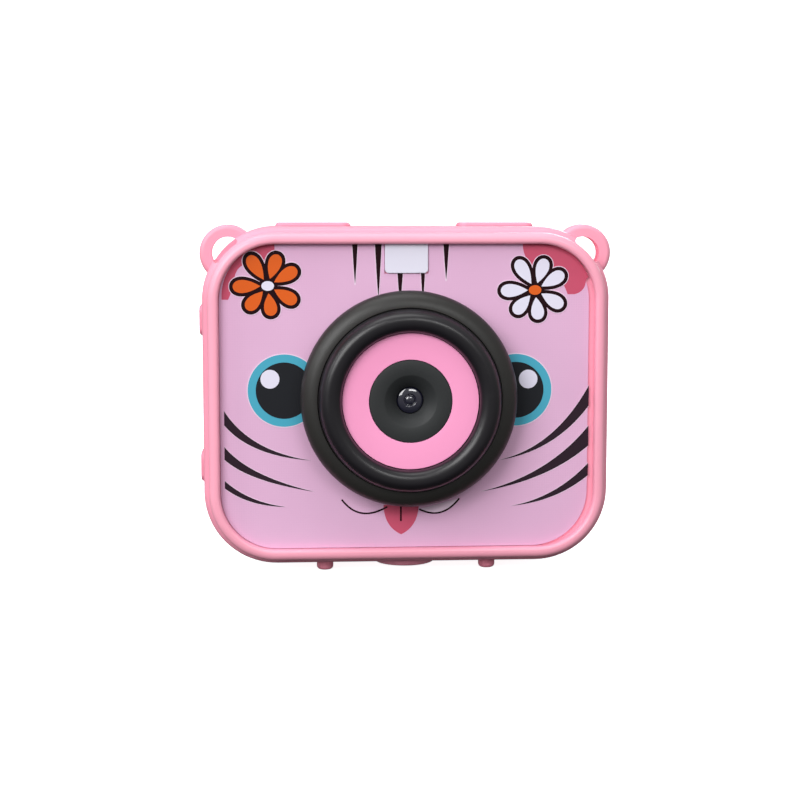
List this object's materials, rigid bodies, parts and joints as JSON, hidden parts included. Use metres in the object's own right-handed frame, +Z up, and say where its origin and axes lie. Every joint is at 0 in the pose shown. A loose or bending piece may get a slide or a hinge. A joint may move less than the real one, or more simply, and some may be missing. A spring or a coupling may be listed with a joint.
{
  "type": "kids digital camera",
  "caption": "Rounded pink splash-proof toy camera with a ringed lens on a printed cat-face panel, press buttons, lanyard ears, tripod socket and a latched rear door.",
  "frame": {"origin": "middle of the footprint, on the plane the feet rest on", "axes": "+X to the right seen from the front, -Y out of the lens, +Z up"},
  "size_m": [0.0866, 0.0422, 0.0731],
  "materials": {
    "pink_case": "moulded pink, fine satin texture",
    "pink_bezel": "moulded pink, soft gloss",
    "pink_button": "soft-touch pink",
    "printed_panel": "printed lilac panel",
    "lens_outer": "matte charcoal",
    "lens_gloss": "polished black",
    "lens_trim": "flat pink ring",
    "lens_inner": "fine-ribbed black",
    "lens_glass": "coated optical glass",
    "flash_pane": "milky diffuser",
    "clear_window": "clear acrylic",
    "foot_rubber": "pink rubber",
    "seal_rubber": "grey silicone",
    "steel": "zinc-plated",
    "brass": "turned brass",
    "circuit_board": "green solder mask",
    "chip": "moulded black epoxy",
    "white_frame": "moulded white",
    "screen": "dark display glass",
    "battery_wrap": "foil pouch",
    "foam": "foam tape",
    "ribbon": "polyimide film",
    "connector": "plated shell",
    "black_plastic": "moulded black",
    "lamp": "phosphor lamp"
  },
  "bodies": {
    "root": {"front_cover": "pink_bezel", "faceplate": "printed_panel", "flash_window": "flash_pane", "flash_led": "lamp", "front_gasket": "seal_rubber", "main_housing": "pink_case", "tripod_insert": "brass", "lens_bumper": "lens_outer", "lens_barrel": "lens_gloss", "lens_trim_ring": "lens_trim", "lens_cone": "lens_inner", "lens_window": "lens_glass", "lens_o_ring": "seal_rubber", "lens_retaining_nut": "black_plastic", "lens_holder": "black_plastic", "lens_elements": "lens_inner", "image_sensor": "chip", "sensor_board": "circuit_board", "lens_ribbon": "ribbon", "main_board": "circuit_board", "battery": "battery_wrap", "battery_pad": "foam", "lcd_panel": "screen", "lcd_ribbon": "ribbon", "inner_frame": "white_frame", "usb_port": "connector", "sd_socket": "connector", "speaker": "black_plastic", "microphone": "connector", "hinge_pin": "steel", "feet": "foot_rubber", "board_chips": "chip", "cover_screws": "steel", "frame_screws": "steel", "sensor_screws": "steel", "button_o_rings": "seal_rubber", "tact_switches": "black_plastic", "power_spring": "steel", "shutter_spring": "steel", "up_spring": "steel", "down_spring": "steel", "menu_spring": "steel"},
    "door": {"rear_door": "pink_case", "door_gasket": "seal_rubber", "screen_window": "clear_window", "latch_pin": "steel", "latch_spring": "steel"},
    "latch": {"latch_lever": "pink_button"},
    "power": {"power_button": "pink_button", "power_clip": "steel"},
    "shutter": {"shutter_button": "pink_button", "shutter_clip": "steel"},
    "up": {"up_button": "pink_button", "up_clip": "steel"},
    "down": {"down_button": "pink_button", "down_clip": "steel"},
    "menu": {"menu_button": "pink_button", "menu_clip": "steel"}
  },
  "joints": [
    {"name": "door_hinge", "type": "hinge", "parent": "root", "child": "door", "pos_m": [-0.04, 0.01475, 0.03715], "axis": [0, 0, 1], "range_deg": [0, 95]},
    {"name": "latch_pivot", "type": "hinge", "parent": "door", "child": "latch", "pos_m": [0.0407, 0.01585, 0.03715], "axis": [0, 0, 1], "range_deg": [0, 25], "stiffness_Nm_per_rad": 0.01, "springref_deg": -11.46, "deforming": ["latch_spring"]},
    {"name": "power_press", "type": "slide", "parent": "root", "child": "power", "axis": [0, 0, -1], "range_m": [0, 0.0005], "stiffness_N_per_m": 400, "springref_m": -0.0008, "deforming": ["power_spring"]},
    {"name": "shutter_press", "type": "slide", "parent": "root", "child": "shutter", "axis": [0, 0, -1], "range_m": [0, 0.0005], "stiffness_N_per_m": 400, "springref_m": -0.0008, "deforming": ["shutter_spring"]},
    {"name": "up_press", "type": "slide", "parent": "root", "child": "up", "axis": [1, 0, 0], "range_m": [0, 0.0005], "stiffness_N_per_m": 400, "springref_m": -0.0008, "deforming": ["up_spring"]},
    {"name": "down_press", "type": "slide", "parent": "root", "child": "down", "axis": [1, 0, 0], "range_m": [0, 0.0005], "stiffness_N_per_m": 400, "springref_m": -0.0008, "deforming": ["down_spring"]},
    {"name": "menu_press", "type": "slide", "parent": "root", "child": "menu", "axis": [-1, 0, 0], "range_m": [0, 0.0005], "stiffness_N_per_m": 400, "springref_m": -0.0008, "deforming": ["menu_spring"]}
  ]
}
